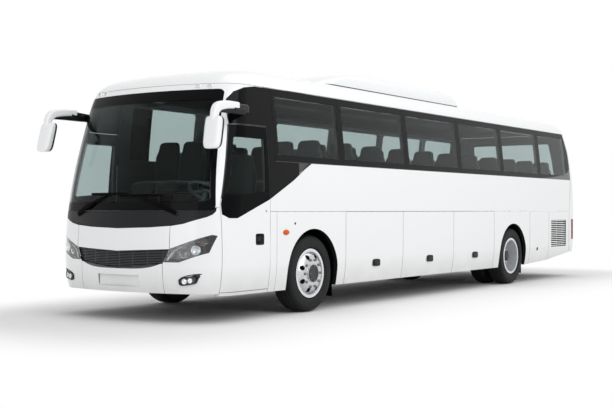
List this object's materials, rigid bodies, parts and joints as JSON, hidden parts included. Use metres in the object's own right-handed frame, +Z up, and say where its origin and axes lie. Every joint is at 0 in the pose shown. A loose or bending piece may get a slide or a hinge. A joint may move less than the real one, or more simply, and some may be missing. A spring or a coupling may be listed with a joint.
{
  "type": "coach bus",
  "caption": "Touring coach body on twin rear and steered front wheels, with raised seat deck, dark side glass, luggage bays, mirrors and roof air conditioner.",
  "frame": {"origin": "on the ground below the middle of the coach's length and width", "axes": "+X forward, +Y to the left, +Z up"},
  "size_m": [10.9346, 2.87, 3.1119],
  "materials": {
    "white_paint": "gloss",
    "white_shell": "satin",
    "black_plastic": "satin",
    "clear_glass": "polished",
    "dark_glass": "polished",
    "clear_lens": "polished",
    "lamp_reflector": "polished",
    "red_lens": "polished",
    "floor_covering": "matt",
    "dark_steel": "matt",
    "engine_iron": "rough",
    "wheel_alloy": "polished",
    "tyre_rubber": "matt",
    "seat_cloth": "woven",
    "dash_plastic": "matt"
  },
  "bodies": {
    "body": {"windscreen": "clear_glass", "wiper_panel": "black_plastic", "windscreen_frame": "white_paint", "front_flap": "white_paint", "grille": "black_plastic", "front_bumper": "white_paint", "front_corners": "white_paint", "front_lamps": "lamp_reflector", "headlamp_lenses": "clear_lens", "side_walls": "white_paint", "side_glass": "dark_glass", "passenger_door": "white_paint", "passenger_door_glass": "dark_glass", "skirts": "white_paint", "rear_wall": "white_paint", "rear_window": "dark_glass", "rear_bumper": "white_paint", "tail_lamps": "red_lens", "roof": "white_paint", "ac_unit": "white_shell", "cabin_floor": "floor_covering", "entrance_steps": "floor_covering", "luggage_bays": "dark_steel", "chassis_rails": "dark_steel", "engine": "engine_iron", "wheel_housings": "dark_steel", "front_axle": "dark_steel", "rear_axle": "dark_steel", "passenger_seats": "seat_cloth", "driver_seat": "seat_cloth", "dashboard": "dash_plastic", "luggage_racks": "dash_plastic", "mirrors": "black_plastic", "wipers": "black_plastic"},
    "luggage_door_left_1": {"luggage_door_left_1": "white_paint"},
    "luggage_door_left_2": {"luggage_door_left_2": "white_paint"},
    "luggage_door_left_3": {"luggage_door_left_3": "white_paint"},
    "service_door_left": {"service_door_left": "white_paint"},
    "engine_side_door_left": {"engine_side_door_left": "white_paint"},
    "knuckle_left": {"knuckle_left": "engine_iron"},
    "front_wheel_left": {"front_wheel_left": "wheel_alloy", "front_tyre_left": "tyre_rubber"},
    "rear_wheels_left": {"rear_wheel_left": "wheel_alloy", "rear_tyres_left": "tyre_rubber"},
    "luggage_door_right_1": {"luggage_door_right_1": "white_paint"},
    "luggage_door_right_2": {"luggage_door_right_2": "white_paint"},
    "luggage_door_right_3": {"luggage_door_right_3": "white_paint"},
    "service_door_right": {"service_door_right": "white_paint"},
    "engine_side_door_right": {"engine_side_door_right": "white_paint"},
    "knuckle_right": {"knuckle_right": "engine_iron"},
    "front_wheel_right": {"front_wheel_right": "wheel_alloy", "front_tyre_right": "tyre_rubber"},
    "rear_wheels_right": {"rear_wheel_right": "wheel_alloy", "rear_tyres_right": "tyre_rubber"},
    "driver_door": {"driver_door": "white_paint", "driver_door_glass": "dark_glass"},
    "engine_lid": {"engine_lid": "white_paint"}
  },
  "joints": [
    {"name": "luggage_door_left_1_hinge", "type": "hinge", "parent": "body", "child": "luggage_door_left_1", "pos_m": [0, 1.2475, 1.215], "axis": [1, 0, 0], "range_deg": [0, 85]},
    {"name": "luggage_door_left_2_hinge", "type": "hinge", "parent": "body", "child": "luggage_door_left_2", "pos_m": [0, 1.2475, 1.215], "axis": [1, 0, 0], "range_deg": [0, 85]},
    {"name": "luggage_door_left_3_hinge", "type": "hinge", "parent": "body", "child": "luggage_door_left_3", "pos_m": [0, 1.2475, 1.215], "axis": [1, 0, 0], "range_deg": [0, 85]},
    {"name": "service_door_left_hinge", "type": "hinge", "parent": "body", "child": "service_door_left", "pos_m": [-4, 1.2475, 1.215], "axis": [1, 0, 0], "range_deg": [0, 85]},
    {"name": "engine_side_door_left_hinge", "type": "hinge", "parent": "body", "child": "engine_side_door_left", "pos_m": [-4, 1.2475, 1.215], "axis": [1, 0, 0], "range_deg": [0, 85]},
    {"name": "steering_left", "type": "hinge", "parent": "body", "child": "knuckle_left", "pos_m": [3.372, 0.965, 0.47], "axis": [0, 0, 1], "range_deg": [-40, 40]},
    {"name": "front_wheel_left_spin", "type": "hinge", "parent": "knuckle_left", "child": "front_wheel_left", "pos_m": [3.372, 1.065, 0.47], "axis": [0, 1, 0], "continuous": true},
    {"name": "rear_wheels_left_spin", "type": "hinge", "parent": "body", "child": "rear_wheels_left", "pos_m": [-2.598, 0.898, 0.47], "axis": [0, 1, 0], "continuous": true},
    {"name": "luggage_door_right_1_hinge", "type": "hinge", "parent": "body", "child": "luggage_door_right_1", "pos_m": [0, -1.2475, 1.215], "axis": [-1, 0, 0], "range_deg": [0, 85]},
    {"name": "luggage_door_right_2_hinge", "type": "hinge", "parent": "body", "child": "luggage_door_right_2", "pos_m": [0, -1.2475, 1.215], "axis": [-1, 0, 0], "range_deg": [0, 85]},
    {"name": "luggage_door_right_3_hinge", "type": "hinge", "parent": "body", "child": "luggage_door_right_3", "pos_m": [0, -1.2475, 1.215], "axis": [-1, 0, 0], "range_deg": [0, 85]},
    {"name": "service_door_right_hinge", "type": "hinge", "parent": "body", "child": "service_door_right", "pos_m": [-4, -1.2475, 1.215], "axis": [-1, 0, 0], "range_deg": [0, 85]},
    {"name": "engine_side_door_right_hinge", "type": "hinge", "parent": "body", "child": "engine_side_door_right", "pos_m": [-4, -1.2475, 1.215], "axis": [-1, 0, 0], "range_deg": [0, 85]},
    {"name": "steering_right", "type": "hinge", "parent": "body", "child": "knuckle_right", "pos_m": [3.372, -0.965, 0.47], "axis": [0, 0, 1], "range_deg": [-40, 40]},
    {"name": "front_wheel_right_spin", "type": "hinge", "parent": "knuckle_right", "child": "front_wheel_right", "pos_m": [3.372, -1.065, 0.47], "axis": [0, 1, 0], "continuous": true},
    {"name": "rear_wheels_right_spin", "type": "hinge", "parent": "body", "child": "rear_wheels_right", "pos_m": [-2.598, -0.898, 0.47], "axis": [0, 1, 0], "continuous": true},
    {"name": "driver_door_hinge", "type": "hinge", "parent": "body", "child": "driver_door", "pos_m": [5.072, 1.194, 1.2], "axis": [0, 0, -1], "range_deg": [0, 70]},
    {"name": "engine_lid_hinge", "type": "hinge", "parent": "body", "child": "engine_lid", "pos_m": [-5.466, 0, 1.215], "axis": [0, 1, 0], "range_deg": [0, 80]}
  ],
  "couplings": [
    {"joint": "steering_right", "follows": "steering_left", "ratio": 1}
  ]
}
